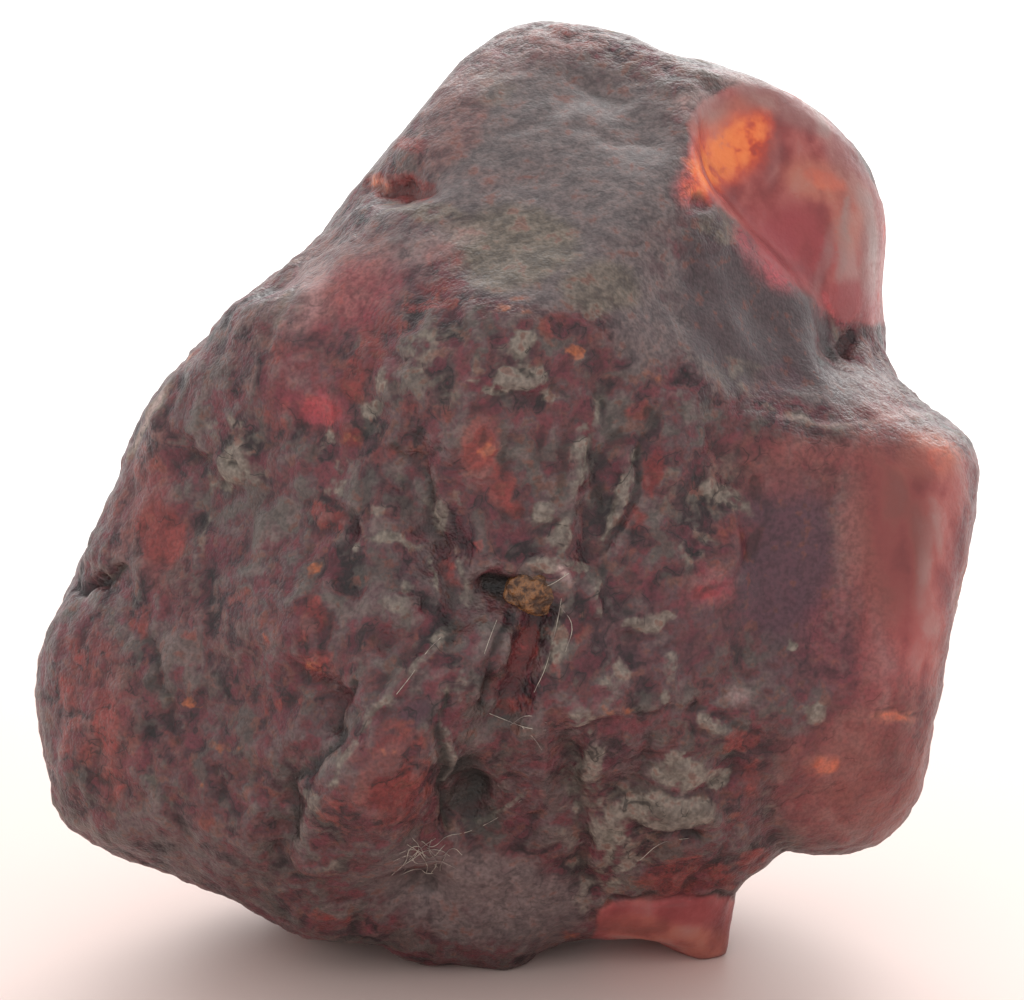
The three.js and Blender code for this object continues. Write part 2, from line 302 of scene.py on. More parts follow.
# Patches of colour: (x, y, half width, half height, strength), and a turn in degrees
RED_PATCHES = [
    # left flank
    (160, 535, 22, 44, 0.9, -8), (150, 468, 30, 22, 0.45), (120, 525, 18, 38, 0.4), (225, 397, 26, 10, 0.5),
    (275, 415, 13, 34, 0.55), (230, 560, 28, 18, 0.4), (240, 605, 24, 20, 0.45), (140, 625, 16, 18, 0.55),
    (185, 628, 20, 14, 0.35), (90, 652, 30, 18, 0.6), (80, 690, 28, 34, 0.6), (108, 722, 14, 44, 0.95),
    (72, 745, 20, 26, 0.6), (112, 785, 18, 22, 0.55), (95, 590, 10, 6, 0.4), (205, 822, 11, 12, 0.5),
    (175, 745, 16, 24, 0.35), (262, 800, 18, 10, 0.35),
    # upper left
    (440, 262, 24, 18, 0.6), (440, 290, 26, 10, 0.8), (428, 308, 28, 7, 0.9, -8), (380, 330, 30, 18, 0.65),
    (368, 362, 16, 28, 0.75, 35), (350, 388, 17, 20, 0.8), (322, 414, 21, 13, 1), (346, 440, 13, 17, 0.9),
    (300, 335, 26, 26, 0.4), (282, 345, 10, 28, 0.55, 15), (330, 290, 30, 16, 0.4), (365, 268, 24, 12, 0.3),
    (340, 360, 24, 20, 0.4), (390, 270, 20, 14, 0.3),
    # middle
    (325, 520, 17, 15, 0.85), (382, 460, 19, 13, 0.6), (410, 412, 15, 11, 0.55), (475, 549, 8, 5, 0.8),
    (480, 452, 19, 32, 0.85), (500, 490, 18, 20, 0.7), (514, 512, 13, 12, 0.7), (555, 326, 22, 14, 0.55),
    (590, 340, 26, 10, 0.4), (450, 576, 9, 26, 0.7, -28), (334, 586, 11, 8, 0.6), (310, 622, 22, 26, 0.75),
    (276, 632, 20, 24, 0.45), (312, 670, 20, 22, 0.75), (272, 708, 30, 14, 0.6), (440, 420, 26, 12, 0.4),
    (495, 745, 12, 10, 0.3),
    # groove under the hole
    (526, 652, 10, 38, 0.95, 17), (514, 706, 14, 8, 0.7), (557, 676, 6, 18, 0.6), (577, 636, 7, 13, 0.6),
    # heart facet
    (388, 752, 18, 17, 1), (385, 792, 38, 34, 0.85), (358, 760, 16, 26, 0.6, 20), (345, 815, 26, 16, 0.55),
    (415, 745, 14, 14, 0.6),
    # foot
    (330, 925, 26, 12, 0.7), (470, 862, 28, 16, 0.35), (560, 860, 22, 12, 0.4), (535, 800, 9, 9, 0.5),
    # right of the middle
    (653, 472, 12, 28, 0.95, 8), (634, 524, 17, 16, 0.65), (640, 412, 13, 10, 0.6), (690, 485, 13, 14, 0.5),
    (740, 540, 28, 28, 0.55), (706, 595, 15, 9, 0.8), (725, 565, 18, 18, 0.5), (740, 745, 20, 12, 0.7),
    (745, 782, 20, 24, 0.65), (745, 815, 16, 18, 0.4),
    # crown
    (412, 146, 21, 8, 0.65), (405, 194, 27, 9, 1), (560, 38, 44, 12, 0.4), (462, 118, 22, 40, 0.3),
    (472, 152, 24, 22, 0.3), (520, 186, 16, 4, 0.4), (505, 70, 30, 12, 0.25),
    # chip
    (690, 880, 52, 20, 0.8), (660, 922, 66, 12, 1, 8), (712, 944, 34, 22, 0.9), (752, 862, 18, 12, 0.8),
    (575, 938, 20, 8, 0.6),
]
ORANGE_PATCHES = [
    (740, 130, 40, 26, 0.6, -20), (840, 190, 26, 26, 0.35), (745, 175, 40, 18, 0.45, -30),
    (346, 444, 9, 9, 0.45), (484, 452, 12, 20, 0.5), (512, 308, 26, 12, 0.5), (573, 360, 15, 10, 0.6),
    (316, 572, 11, 9, 0.45), (190, 706, 13, 7, 0.6), (225, 750, 17, 16, 0.35), (200, 794, 15, 12, 0.35),
    (388, 752, 13, 12, 0.45), (376, 186, 7, 9, 0.6), (655, 372, 16, 26, 0.35), (825, 766, 14, 16, 0.75),
    (895, 720, 18, 4, 0.9), (700, 938, 26, 14, 0.4), (616, 716, 26, 10, 0.4), (935, 460, 24, 24, 0.4),
    (440, 290, 20, 8, 0.35), (275, 632, 14, 18, 0.3), (310, 676, 14, 14, 0.3), (570, 940, 14, 6, 0.5),
]
# Patches of painted glow, where the backlight shines through thin amber
GLOW_PATCHES = [
    (826, 182, 22, 13, 0.4, 20), (825, 768, 12, 14, 0.35), (888, 721, 16, 3, 0.45), (942, 458, 16, 20, 0.3),
]
PALE_PATCHES = [
    # left flank
    (225, 425, 20, 11, 0.6), (238, 470, 26, 20, 0.8), (220, 492, 16, 8, 0.7), (336, 484, 14, 14, 0.6),
    (326, 445, 5, 14, 0.6), (204, 540, 8, 28, 0.4), (116, 574, 12, 4, 0.6), (345, 466, 12, 8, 0.45),
    (160, 700, 12, 8, 0.3), (150, 770, 8, 30, 0.35, -25), (165, 815, 10, 8, 0.35), (310, 800, 9, 14, 0.4),
    (118, 620, 8, 14, 0.35, 20), (330, 870, 20, 12, 0.3),
    # middle
    (385, 381, 12, 18, 0.9), (372, 411, 9, 12, 0.75), (424, 356, 17, 24, 0.5), (522, 345, 13, 15, 0.7),
    (521, 380, 26, 17, 0.85), (485, 388, 24, 5, 0.8, 22), (548, 402, 16, 5, 0.7, 30),
    (500, 352, 8, 12, 0.5), (540, 516, 13, 12, 0.8), (560, 540, 15, 14, 0.85), (375, 512, 11, 10, 0.6),
    (440, 518, 8, 26, 0.5), (455, 500, 6, 14, 0.5, -20), (392, 546, 34, 9, 0.65, 5), (358, 552, 14, 8, 0.6),
    (396, 607, 24, 11, 0.6), (408, 588, 12, 8, 0.5), (432, 580, 4, 22, 0.7, -8), (577, 470, 6, 44, 0.6, 8),
    (560, 480, 5, 26, 0.4, 30), (549, 570, 20, 12, 0.75), (574, 568, 13, 10, 0.75), (597, 604, 6, 22, 0.7),
    (559, 648, 9, 20, 0.65), (586, 430, 6, 6, 0.8), (402, 476, 12, 8, 0.35), (474, 480, 14, 8, 0.3),
    (462, 560, 8, 12, 0.4), (468, 604, 8, 8, 0.4),
    # right of the middle
    (622, 490, 7, 44, 0.65, 14), (728, 500, 34, 14, 0.65, 32), (692, 548, 20, 20, 0.45),
    (640, 628, 20, 10, 0.7), (662, 622, 18, 6, 0.65, -25), (705, 368, 44, 9, 0.4, 35),
    (738, 376, 16, 8, 0.5), (622, 672, 14, 13, 0.7), (600, 690, 10, 9, 0.6), (670, 668, 13, 15, 0.6),
    (664, 700, 9, 13, 0.5), (710, 728, 14, 9, 0.7), (580, 720, 17, 13, 0.6), (590, 765, 17, 20, 0.75),
    (574, 790, 8, 36, 0.55), (680, 774, 28, 19, 0.85), (716, 780, 17, 13, 0.8), (642, 815, 44, 18, 0.85),
    (692, 815, 28, 18, 0.85), (610, 832, 22, 32, 0.7), (622, 862, 22, 16, 0.6), (582, 900, 12, 22, 0.5),
    (612, 892, 14, 10, 0.5), (560, 826, 8, 22, 0.35),
    # right block
    (812, 717, 14, 13, 0.8), (790, 776, 20, 7, 0.5, -20), (768, 812, 15, 9, 0.5), (795, 648, 6, 5, 0.9),
    # fibre ridge beside the heart facet
    (404, 682, 6, 66, 0.5, 42), (446, 745, 4, 54, 0.7, -8), (460, 688, 10, 28, 0.5, -10),
    (384, 716, 14, 7, 0.4, -20),
]
# Dark patches: painted shade in the pits, crevices and cracks, and under the lobe's overhanging tip
DARK_PATCHES = [
    (493, 588, 14, 9, 0.9), (470, 806, 17, 26, 0.35, 10), (604, 414, 4, 22, 0.7, -10),
    (612, 440, 16, 8, 0.45), (598, 506, 8, 34, 0.65, 6), (735, 460, 8, 7, 0.6), (757, 487, 7, 8, 0.4),
    (766, 512, 4, 14, 0.5), (686, 840, 13, 6, 0.8), (578, 775, 6, 44, 0.55), (583, 862, 4, 26, 0.6),
    (198, 460, 10, 6, 0.5), (92, 586, 14, 5, 0.7, -20), (825, 361, 8, 13, 0.7), (700, 204, 9, 14, 0.7),
    (150, 690, 8, 10, 0.4), (218, 790, 4, 9, 0.6), (425, 884, 22, 13, 0.35), (470, 672, 9, 12, 0.5),
    (486, 690, 7, 30, 0.55), (395, 452, 14, 8, 0.55), (347, 524, 7, 14, 0.35), (382, 640, 14, 14, 0.5),
    (424, 608, 8, 10, 0.5), (484, 436, 6, 10, 0.5), (236, 467, 7, 6, 0.6), (318, 445, 3, 12, 0.5),
    (548, 380, 6, 10, 0.35), (855, 322, 22, 8, 0.5, -30), (430, 526, 3, 12, 0.5), (650, 418, 8, 8, 0.5),
]
# Whole areas: the grey crust of the crown, and the veils of olive, pink and violet on the crust
GREY_AREAS = [
    (560, 170, 150, 120, 1), (560, 270, 110, 50, 0.9), (430, 220, 70, 50, 0.6, -30),
    (650, 300, 50, 90, 0.8), (750, 320, 90, 80, 0.9), (830, 385, 70, 30, 0.7), (480, 900, 130, 55, 0.8, 10),
    (190, 850, 90, 40, 0.45, 20), (640, 640, 60, 50, 0.3),
]
OLIVE_AREAS = [
    (510, 250, 76, 46, 1), (600, 292, 44, 34, 0.8), (425, 215, 50, 12, 0.8, 10), (490, 90, 26, 22, 0.6),
    (620, 70, 40, 16, 0.4, 20), (722, 232, 26, 18, 0.7), (760, 375, 40, 12, 0.6, 20),
    (300, 300, 26, 26, 0.3), (600, 820, 70, 90, 0.5), (230, 460, 50, 40, 0.4), (700, 490, 60, 40, 0.4),
    (440, 370, 50, 50, 0.5),
]
PINK_AREAS = [
    (450, 125, 36, 60, 0.9, 20), (560, 42, 70, 16, 0.9), (470, 180, 50, 14, 0.5),
    (660, 66, 60, 14, 0.5, 20), (345, 275, 60, 50, 0.9, -40), (435, 268, 34, 26, 0.7),
    (270, 350, 60, 50, 0.5, -40), (640, 340, 36, 20, 0.4), (560, 320, 60, 16, 0.4),
    (140, 500, 40, 90, 0.6, 15), (90, 700, 40, 80, 0.6), (210, 640, 70, 60, 0.4), (840, 500, 90, 70, 0.5),
    (820, 810, 60, 40, 0.4), (870, 370, 30, 30, 0.6),
]
CALM_AREAS = [
    (790, 560, 70, 110, 1), (690, 630, 60, 46, 0.8), (810, 690, 60, 50, 0.8),
    (360, 290, 100, 50, 0.75, -40), (300, 370, 60, 60, 0.5), (880, 560, 60, 150, 1),
    (870, 780, 70, 60, 0.6), (150, 530, 40, 80, 0.4, -8),
]
VIOLET_AREAS = [
    (780, 560, 60, 100, 0.9), (660, 640, 80, 60, 0.5), (810, 660, 60, 50, 0.5), (440, 560, 60, 60, 0.5),
    (780, 380, 30, 20, 0.7), (400, 280, 30, 24, 0.5), (415, 715, 14, 18, 0.8), (540, 800, 40, 60, 0.5),
    (620, 765, 30, 24, 0.6),
]
# Soft stains, and painted glow, sheen and shade, that lie over all else: (colour, patches)
STAINS_AND_PAINTED_LIGHT = [
    ("crimson", CRIMSON, [
        (790, 248, 44, 44, 0.9, 35), (850, 305, 34, 24, 0.7), (760, 235, 26, 30, 0.6),
        (694, 190, 22, 22, 0.7), (690, 912, 50, 14, 0.6), (625, 918, 26, 12, 0.5), (322, 414, 26, 18, 0.5),
        (350, 300, 60, 34, 0.25, -30), (522, 662, 10, 34, 0.3, 17), (706, 590, 26, 20, 0.3),
        (870, 640, 60, 70, 0.25), (300, 385, 30, 40, 0.25),
    ]),
    ("brick", BRICK, [
        (885, 520, 46, 120, 0.85), (800, 470, 90, 34, 0.4), (880, 780, 70, 60, 0.6),
        (406, 191, 26, 10, 0.5), (405, 146, 22, 9, 0.5), (160, 530, 30, 70, 0.3, -8),
        (480, 455, 22, 40, 0.4), (110, 730, 30, 80, 0.3),
    ]),
    # painted glow where the backlight shines through thin amber
    ("peach_glow", PEACH_GLOW, [
        (820, 184, 44, 22, 0.55, 15), (735, 118, 44, 18, 0.5, -20), (845, 222, 20, 34, 0.35),
        (378, 186, 9, 8, 0.5), (928, 458, 34, 26, 0.45), (645, 932, 44, 13, 0.5, 8),
        (706, 946, 32, 16, 0.55), (895, 721, 26, 4, 0.6), (815, 768, 16, 12, 0.35),
    ]),
    # the grey veil on the lobe's top and elsewhere, and painted sheen along the lobe's right rim
    ("mist_and_sheen", MIST_AND_SHEEN, [
        (790, 106, 74, 22, 0.75, 25), (850, 168, 18, 56, 0.5, -28), (700, 108, 30, 18, 0.5),
        (868, 262, 11, 46, 0.6), (772, 160, 8, 30, 0.35, 10), (824, 262, 6, 40, 0.5, 15),
        (842, 240, 5, 44, 0.4, 5), (430, 250, 60, 14, 0.25, -20), (300, 300, 26, 46, 0.35, 25),
        (846, 560, 16, 90, 0.1), (500, 60, 60, 26, 0.2, -20), (740, 700, 14, 10, 0.3),
        (490, 895, 100, 40, 0.1, 8),
    ]),
    # painted shade in the dark pocket and the open hole
    ("pocket_shade", POCKET_SHADE_GREEN, [
        (462, 790, 24, 30, 0.9, 15), (484, 822, 20, 18, 0.7, -20), (494, 588, 14, 8, 0.9),
    ]),
]
# Bright slivers of light on rims: (points, width in pixels, strength)
RIM_LINES = [
    ([(166, 386), (150, 412), (134, 440), (114, 468)], 3, 0.6),
    ([(780, 419), (820, 427), (850, 428), (880, 420), (926, 416)], 2, 0.35),
    ([(880, 419), (912, 414), (932, 420)], 3, 0.35),
    ([(558, 570), (566, 577), (569, 586)], 3, 0.8),
    ([(868, 206), (874, 236), (868, 262)], 5, 0.45),
    ([(846, 200), (842, 222), (848, 244)], 3, 0.5),
]
# Facets with a clear rim: (outline, softness of the rim in pixels, strength)
LOBE = [
    (684, 128), (700, 100), (742, 84), (790, 92), (832, 124), (860, 160), (880, 200),
    (900, 240), (896, 290), (886, 328), (858, 328), (832, 321), (808, 300), (776, 276),
    (760, 262), (742, 234), (722, 214), (694, 196),
]
# The facet of painted glow, where the backlight shines through the amber
GLOWING = [
    (684, 200), (688, 168), (702, 140), (736, 118), (768, 118), (772, 140), (754, 168),
    (730, 186), (706, 200),
]
RIGHT_BLOCK = [
    (735, 425), (860, 432), (985, 440), (985, 640), (940, 860), (800, 870), (752, 810),
    (764, 740), (850, 690), (838, 590), (850, 500), (760, 472),
]
RIGHT_COLUMN = [
    (852, 446), (930, 432), (985, 456), (975, 560), (945, 700), (916, 704), (890, 680),
    (868, 620), (850, 540),
]
CHIP = [
    (600, 910), (650, 900), (742, 900), (770, 868), (780, 852), (740, 985), (700, 985),
    (640, 950), (590, 945),
]
HEART = [
    (345, 770), (362, 738), (380, 716), (408, 722), (424, 742), (438, 790), (430, 826),
    (396, 842), (340, 832), (312, 812),
]
LOZENGE = [(360, 184), (380, 174), (412, 176), (434, 186), (430, 201), (404, 207), (376, 203)]
WINDOWS = [
    (LOBE, 9, 1), (RIGHT_COLUMN, 40, 0.9), (RIGHT_BLOCK, 34, 0.6), (CHIP, 6, 1),
]
GLOW_FACETS = [(GLOWING, 20, 1)]
RED_FACETS = [(HEART, 7, 0.5), (LOZENGE, 4, 1)]
# The recess face: slate-grey crust, darkened as painted shade
SLATE_AND_SHADE_FACETS = [
    ([
        (700, 214), (724, 216), (744, 238), (762, 266), (808, 303), (832, 324), (832, 352),
        (826, 390), (770, 396), (720, 380), (690, 350), (680, 300), (684, 240),
    ], 9, 1),
]

# Pale lines along rims and ridges, pale crust with painted highlight along the rims: (points, width in
# pixels, strength)
PALE_AND_HIGHLIGHT_LINES = [
    ([(166, 384), (150, 414), (134, 442), (112, 470), (100, 498)], 6, 1),
    ([(300, 248), (294, 272), (282, 306), (270, 344)], 5, 0.4),
    ([(728, 376), (746, 396), (790, 419), (830, 430), (862, 426), (928, 419)], 5, 0.5),
    ([(330, 792), (346, 760), (375, 716), (402, 690), (436, 640)], 7, 0.7),
    ([(692, 150), (695, 180), (694, 212)], 3, 0.7),
    ([(447, 690), (443, 740), (446, 790), (450, 832), (490, 822), (520, 800)], 4, 0.7),
    ([(600, 400), (590, 440), (576, 500)], 5, 0.6),
    ([(637, 455), (618, 492), (606, 540)], 6, 0.7),
    ([(824, 296), (832, 318), (834, 340)], 5, 0.6),
    ([(590, 735), (598, 790), (606, 850), (598, 900)], 6, 0.5),
    ([(420, 500), (440, 530), (452, 552), (470, 600)], 4, 0.5),
    ([(470, 372), (496, 380), (520, 372), (546, 398)], 4, 0.6),
    ([(760, 800), (790, 776), (826, 768)], 4, 0.4),
    ([(140, 750), (158, 790), (186, 832)], 5, 0.4),
    ([(560, 605), (552, 640), (538, 690)], 3, 0.7),
]

# Cracks: (points, width in pixels, depth in mm)
CRACKS = [
    ([(350, 688), (338, 704), (334, 738), (316, 760), (297, 776), (292, 806), (296, 840)], 6, 1.2),
    ([(594, 395), (604, 420), (596, 470), (594, 520), (584, 556)], 5, 0.3),
    ([(640, 450), (634, 500), (612, 545)], 5, 0.9),
    ([(560, 470), (552, 505)], 4, 0.6),
    ([(566, 740), (572, 790), (585, 830), (590, 880)], 6, 0.5),
    ([(445, 700), (440, 740), (448, 790), (450, 830)], 5, 1.2),
    ([(432, 545), (446, 580), (460, 604)], 5, 0.4),
    ([(420, 470), (430, 520), (440, 555)], 4, 0.7),
    ([(72, 590), (96, 584), (122, 572)], 5, 1.1),
    ([(735, 452), (752, 484), (770, 515), (748, 560), (700, 600)], 5, 0.4),
    ([(610, 903), (660, 902), (722, 900)], 5, 0.9),
    ([(640, 718), (690, 716), (730, 722), (760, 742)], 4, 0.6),
    ([(875, 716), (918, 716)], 4, 0.6),
    ([(505, 612), (498, 660), (486, 712)], 5, 0.9),
    ([(300, 262), (282, 310), (262, 352)], 5, 0.4),
    ([(380, 455), (412, 462), (438, 450)], 4, 0.6),
    ([(150, 640), (160, 690), (176, 740)], 5, 0.6),
    ([(140, 740), (158, 790), (190, 842)], 5, 0.6),
    ([(216, 770), (218, 810)], 4, 0.6),
    ([(330, 500), (350, 530), (345, 560)], 5, 0.7),
    ([(545, 385), (566, 398), (578, 424)], 4, 0.6),
    ([(610, 445), (640, 440), (655, 425)], 5, 0.7),
    ([(570, 78), (600, 98), (626, 104)], 7, 0.4),
    ([(610, 60), (650, 84), (676, 112)], 7, 0.35),
    ([(575, 130), (610, 146), (650, 150)], 6, 0.3),
    ([(500, 132), (540, 122), (566, 108)], 6, 0.25),
]

# Pits and bumps: (x, y, half width, half height, height in mm), and a turn in degrees
FORMS = [
    # the open hole with its crumb, the dark pocket, the slot under the crown
    (492, 588, 15, 8, -0.8), (533, 592, 28, 18, -0.5), (466, 796, 22, 34, -0.5, 12),
    (402, 192, 34, 12, -0.8), (424, 884, 22, 14, -0.25), (482, 690, 12, 34, -0.4, 12),
    (524, 655, 12, 42, -0.5, 17), (596, 512, 8, 30, 0.5, 4), (94, 584, 15, 6, -0.8, -20),
    (845, 345, 9, 14, -0.8, -30), (686, 840, 14, 7, -1.0), (700, 205, 10, 16, -0.6),
    (384, 640, 16, 16, -0.6), (757, 487, 10, 9, -0.25), (236, 467, 8, 7, -0.5), (198, 460, 11, 8, -0.6),
    (348, 524, 8, 14, -0.3), (425, 608, 8, 10, -0.4), (484, 440, 8, 12, -0.4),
    # raised pale lumps and facets
    (385, 790, 42, 52, 0.7, 10), (404, 682, 9, 62, 0.55, 42), (446, 752, 5, 50, 0.5, -8),
    (560, 540, 15, 14, 0.5), (540, 516, 13, 12, 0.45), (622, 672, 14, 13, 0.4), (600, 690, 10, 9, 0.35),
    (710, 728, 14, 9, 0.35), (680, 776, 30, 20, 0.5), (642, 815, 46, 18, 0.45), (692, 815, 28, 18, 0.45),
    (590, 765, 17, 20, 0.5), (580, 720, 17, 13, 0.4), (812, 717, 14, 13, 0.2), (622, 490, 7, 44, 0.5, 14),
    (577, 470, 6, 44, 0.5, 8), (521, 380, 26, 17, 0.4), (385, 384, 13, 22, 0.35), (238, 472, 26, 20, 0.35),
    (396, 607, 24, 11, 0.4), (728, 500, 34, 14, 0.4, 32), (670, 668, 13, 15, 0.35), (549, 566, 22, 12, 0.4),
    (597, 604, 6, 22, 0.35), (640, 626, 22, 9, 0.35), (300, 640, 26, 26, 0.4), (180, 610, 30, 34, 0.4),
    (120, 690, 40, 60, 0.4), (250, 560, 30, 30, 0.3), (330, 590, 12, 9, 0.35), (610, 845, 24, 40, 0.4),
    (480, 450, 20, 34, 0.3),
]

# Kinds of surface that lie where the photograph shows them
PLACED = {
    "red": RED_PATCHES, "orange": ORANGE_PATCHES, "pale": PALE_PATCHES, "dark": DARK_PATCHES,
    "glow": GLOW_PATCHES, "grey": GREY_AREAS, "olive": OLIVE_AREAS, "pink": PINK_AREAS,
    "violet": VIOLET_AREAS,
}

elevation = math.radians(VIEW_ELEVATION_DEG)
view_forward = Vector((0, math.cos(elevation), -math.sin(elevation)))
view_up = Vector((0, math.sin(elevation), math.cos(elevation)))
view_place = VIEW_TARGET - view_forward * VIEW_DISTANCE


def to_pixels(points):
    """Where points of the lump are seen in the photograph, as x and y in pixels."""
    away = points - np.array(view_place)
    depth = away @ np.array(view_forward)
    x = IMAGE_WIDTH / 2 + PIXELS_PER_RADIAN * away[:, 0] / depth
    y = IMAGE_HEIGHT / 2 - PIXELS_PER_RADIAN * (away @ np.array(view_up)) / depth
    return x, y


def facing_view(points, normals):
    """1 where the surface looks straight at the camera, 0 edge on, negative behind."""
    to_camera = np.array(view_place) - points
    to_camera /= np.linalg.norm(to_camera, axis=1)[:, None]
    return np.sum(to_camera * normals, axis=1)


def smoothstep(value, low, high):
    share = np.clip((value - low) / (high - low), 0, 1)
    return share * share * (3 - 2 * share)


def oval(seen, rim, at_x, at_y, half_width, half_height, strength, turn=0):
    """The strength of a turned oval at each place, fading out at its rim."""
    x, y = seen
    cos = math.cos(math.radians(turn))
    sin = math.sin(math.radians(turn))
    along = (x - at_x) * cos + (y - at_y) * sin
    across = (y - at_y) * cos - (x - at_x) * sin
    reach = np.hypot(along / half_width, across / half_height)
    return strength * (1 - smoothstep(reach, *rim))


def patch_mask(seen, patches):
    """How strongly a list of patches covers each place, with soft rims."""
    cover = np.zeros(len(seen[0]))
    for patch in patches:
        cover = np.maximum(cover, oval(seen, PATCH_RIM, *patch))
    return cover


def distance_to_line(seen, line):
    """How many pixels each place is from the nearest part of a line."""
    x, y = seen
    nearest = np.full(len(x), np.inf)
    for (ax, ay), (bx, by) in zip(line, line[1:]):
        length = (bx - ax) ** 2 + (by - ay) ** 2
        share = np.clip(((x - ax) * (bx - ax) + (y - ay) * (by - ay)) / length, 0, 1)
        away = np.hypot(x - ax - share * (bx - ax), y - ay - share * (by - ay))
        nearest = np.minimum(nearest, away)
    return nearest


def near_line(seen, line, width):
    """1 on a line, fading out about a width away from it."""
    return np.exp(-((distance_to_line(seen, line) / width) ** 2))


def line_mask(seen, lines):
    """How strongly a list of lines covers each place."""
    cover = np.zeros(len(seen[0]))
    for line, width, strength in lines:
        cover = np.maximum(cover, strength * near_line(seen, line, width))
    return cover


def facet_mask(seen, facets):
    """How far inside the outlines of a list of facets each place is, from 0 to 1."""
    x, y = seen
    cover = np.zeros(len(x))
    for outline, softness, strength in facets:
        inside = np.zeros(len(x), bool)
        closed = outline + outline[:1]
        for (ax, ay), (bx, by) in zip(closed, closed[1:]):
            if ay != by:
                crosses = ((ay > y) != (by > y)) & (x < ax + (bx - ax) * (y - ay) / (by - ay))
                inside ^= crosses
        away = distance_to_line(seen, closed)
        away = np.where(inside, away, -away)
        cover = np.maximum(cover, strength * smoothstep(away, -softness, softness))
    return cover


def noise_places(points, wavelength_mm, seed, stretch):
    """The places in the noise of a seed that belong to the points, one by one."""
    shift = Vector(seed * step for step in SEED_SHIFT)
    for place in points / (wavelength_mm * MM) / np.array(stretch):
        yield Vector(place) + shift


def noise_at(points, wavelength_mm, seed, stretch=(1, 1, 1)):
    """Smooth noise from about -1 to 1 at each point, drawn out along an axis by its stretch."""
    places = noise_places(points, wavelength_mm, seed, stretch)
    return np.array([noise.noise(place) for place in places])


def pattern_at(points, wavelength_mm, seed, octaves, warp, stretch=(1, 1, 1)):
    """Warped cloudy noise at each point, spread evenly about its middle."""
    values = np.empty(len(points))
    for index, place in enumerate(noise_places(points, wavelength_mm, seed, stretch)):
        place += noise.noise_vector(place) * warp
        values[index] = noise.fractal(place, OCTAVE_FALLOFF, OCTAVE_STEP, octaves)
    return PATTERN_MIDDLE + PATTERN_SPREAD * (values - values.mean()) / values.std()


def fine_copy(node):
    """The CAD lump as a new object of even small faces."""
    piece = bpy.data.objects.new("amber_surface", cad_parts[node].data.copy())
    bpy.context.scene.collection.objects.link(piece)
    piece.data.materials.clear()
    remesh = piece.modifiers.new("even faces", "REMESH")
    remesh.mode = "VOXEL"
    remesh.voxel_size = VOXEL_MM * MM
    smooth = piece.modifiers.new("no facets", "SMOOTH")
    smooth.factor = SMOOTHING
    smooth.iterations = SMOOTHING_ROUNDS
    graph = bpy.context.evaluated_depsgraph_get()
    fine = bpy.data.meshes.new_from_object(piece.evaluated_get(graph))
    piece.modifiers.clear()
    piece.data = fine
    return piece


def read_vectors(collection, name):
    values = np.empty(len(collection) * 3)
    collection.foreach_get(name, values)
    return values.reshape(-1, 3)


class Surface:
    """The fine mesh's points, where the photograph sees them, and what lies at each."""

    def __init__(self, mesh):
        self.points = read_vectors(mesh.vertices, "co")
        self.normals = read_vectors(mesh.vertex_normals, "vector")
        self.facing = facing_view(self.points, self.normals)
        self.front = smoothstep(self.facing, *FRONT_FADE)
        self.behind = 1 - self.front
        self.top = smoothstep(self.points[:, 2], *TOP_FADE)
        self.see()
        self.cloud = noise_at(self.points, *CLOUD)
        self.mottle = noise_at(self.points, *MOTTLE)
        self.spots = noise_at(self.points, *SPOTS)
        self.swirl = pattern_at(self.points, *SWIRL)
        self.fold = pattern_at(self.points, *FOLD)
        self.through = self.see_through()
        areas = CALM_IN_AREAS * patch_mask(self.plain, GREY_AREAS + CALM_AREAS) * self.front
        top = CALM_ON_TOP * self.top * self.behind
        self.calm = np.maximum(areas, np.maximum(self.through, top))

    def see(self):
        """The points' places in pixels: as they are, wandering, and wandering a little."""
        x, y = to_pixels(self.points)
        wander_x = x + WANDER_PIXELS * noise_at(self.points, *WANDER_X)
        wander_y = y + WANDER_PIXELS * noise_at(self.points, *WANDER_Y)
        self.plain = x, y
        self.wander = wander_x, wander_y
        self.soft = x + SOFT_WANDER * (wander_x - x), y + SOFT_WANDER * (wander_y - y)

    def see_through(self):
        """How see-through each point is: by facets in front, and in pools of noise behind."""
        turned = self.facing + TURNING_SHARE * noise_at(self.points, *TURNING)
        in_front = facet_mask(self.soft, WINDOWS) * smoothstep(turned, *WINDOW_FADE)
        pools = noise_at(self.points, *POOLS) + POOL_RIM_SHARE * noise_at(self.points, *POOL_RIMS)
        return np.maximum(in_front, self.behind * smoothstep(pools, *POOL_FADE) * POOL_STRENGTH)

    def scattered(self, name):
        """How strongly a kind of surface lies at each point behind."""
        spots, mottle, cloud, top, low, high, fade, strength = SCATTERED[name]
        total = spots * self.spots + mottle * self.mottle + cloud * self.cloud + top * self.top
        return self.behind * (1 - fade * self.top) * smoothstep(total, low, high) * strength


def placed_relief(seen):
    """Heights in millimetres of the pits, bumps and cracks that have a place of their own."""
    height = np.zeros(len(seen[0]))
    for form in FORMS:
        height += oval(seen, FORM_RIM, *form)
    for line, width, depth in CRACKS:
        height -= CRACK_MM * depth * near_line(seen, line, width)
    return height


